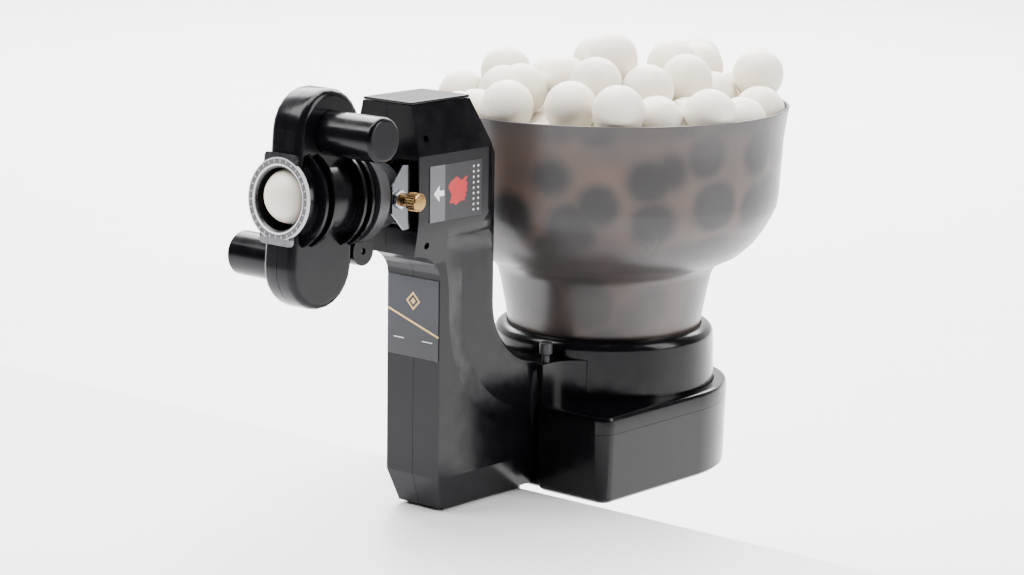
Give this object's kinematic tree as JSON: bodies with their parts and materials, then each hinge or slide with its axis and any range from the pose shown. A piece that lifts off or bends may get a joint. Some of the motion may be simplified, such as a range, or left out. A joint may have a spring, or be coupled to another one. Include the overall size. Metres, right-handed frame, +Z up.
{
  "type": "table tennis ball machine",
  "caption": "Table tennis robot: two-wheel throwing head on a curved column, ball drum and open smoke-brown hopper, clamped to the end of a table.",
  "frame": {"origin": "centre of the foot pad's underside, in the plane of the table top", "axes": "+Z up, balls leave towards -Y, +X is the machine's left side"},
  "size_m": [0.2824, 0.5069, 0.4291],
  "materials": {
    "gloss_black": "glossy black moulding",
    "satin_black": "satin black",
    "black_paint": "black powder coat",
    "smoke": "frosted smoke-brown, lets some light through",
    "rubber": "matt",
    "label": "printed film",
    "sheet_steel": "polished sheet",
    "steel": "bright",
    "brass": "knurled",
    "nylon": "natural nylon",
    "board_green": "printed circuit board"
  },
  "bodies": {
    "base": {"column_left_shell": "gloss_black", "column_right_shell": "gloss_black", "head_cap": "gloss_black", "head_screw_upper": "black_paint", "head_screw_lower": "black_paint", "foot_pad": "rubber", "front_label": "label", "side_label": "label", "drum_housing": "gloss_black", "base_upper_shell": "gloss_black", "base_tray": "gloss_black", "switch_bezel": "satin_black", "power_inlet": "satin_black", "control_board": "board_green", "feed_gearmotor": "steel", "sweep_gearmotor": "steel", "clamp_bracket": "black_paint"},
    "hopper": {"hopper_bowl": "smoke"},
    "feeder": {"feed_wheel": "nylon", "agitator_cone": "nylon"},
    "nose_screw": {"nose_thumb_screw": "satin_black"},
    "rocker": {"switch_rocker": "satin_black"},
    "yoke": {"yoke": "sheet_steel"},
    "tilt": {"tilt_socket": "satin_black", "tilt_stud": "steel", "tilt_rivet": "steel", "tilt_lock_nut": "steel"},
    "tilt_knob": {"tilt_knob": "brass"},
    "launcher": {"launcher_left_shell": "gloss_black", "launcher_right_shell": "gloss_black", "launcher_screw": "black_paint", "scale_ring": "satin_black", "upper_motor": "steel", "upper_motor_cover": "gloss_black", "lower_motor": "steel", "lower_motor_cover": "gloss_black"},
    "upper_wheel": {"upper_wheel_hub": "nylon", "upper_wheel_tyre": "rubber"},
    "lower_wheel": {"lower_wheel_hub": "nylon", "lower_wheel_tyre": "rubber"},
    "clamp_pad": {"clamp_pad": "rubber"},
    "clamp_screw": {"clamp_screw": "steel", "clamp_knob": "satin_black"}
  },
  "joints": [
    {"name": "hopper_lift", "type": "slide", "parent": "base", "child": "hopper", "axis": [0, 0, 1], "range_m": [0, 0.08]},
    {"name": "feed_turn", "type": "hinge", "parent": "base", "child": "feeder", "pos_m": [0, 0.167, 0.06], "axis": [0, 0, 1], "continuous": true},
    {"name": "nose_screw_turn", "type": "hinge", "parent": "base", "child": "nose_screw", "pos_m": [0.026, 0.065, 0.1], "axis": [0, 0, 1], "continuous": true},
    {"name": "power_rock", "type": "hinge", "parent": "base", "child": "rocker", "pos_m": [-0.089, 0.105, 0.0275], "axis": [0, 0, 1], "range_deg": [-6, 6]},
    {"name": "sweep", "type": "hinge", "parent": "base", "child": "yoke", "pos_m": [0, -0.074, 0.242], "axis": [0, 0, 1], "range_deg": [-12, 12]},
    {"name": "tilt", "type": "hinge", "parent": "yoke", "child": "tilt", "pos_m": [0, -0.101, 0.242], "axis": [-1, 0, 0], "range_deg": [-20, 20]},
    {"name": "tilt_knob_turn", "type": "hinge", "parent": "tilt", "child": "tilt_knob", "pos_m": [0.04, -0.101, 0.242], "axis": [1, 0, 0], "continuous": true},
    {"name": "spin_roll", "type": "hinge", "parent": "tilt", "child": "launcher", "pos_m": [0, -0.101, 0.242], "axis": [0, -0.9962, 0.0872], "range_deg": [-180, 180]},
    {"name": "upper_wheel_spin", "type": "hinge", "parent": "launcher", "child": "upper_wheel", "pos_m": [0, -0.15817, 0.29418], "axis": [1, 0, 0], "continuous": true},
    {"name": "lower_wheel_spin", "type": "hinge", "parent": "launcher", "child": "lower_wheel", "pos_m": [0, -0.16636, 0.20054], "axis": [1, 0, 0], "continuous": true},
    {"name": "clamp_close", "type": "slide", "parent": "base", "child": "clamp_pad", "axis": [0, 0, -1], "range_m": [0, 0.018]},
    {"name": "clamp_turn", "type": "hinge", "parent": "clamp_pad", "child": "clamp_screw", "pos_m": [0, -0.004, -0.05], "axis": [0, 0, -1], "range_deg": [0, 5184]}
  ],
  "couplings": [
    {"joint": "clamp_turn", "follows": "clamp_close", "rad_per_m": 5026.5}
  ]
}
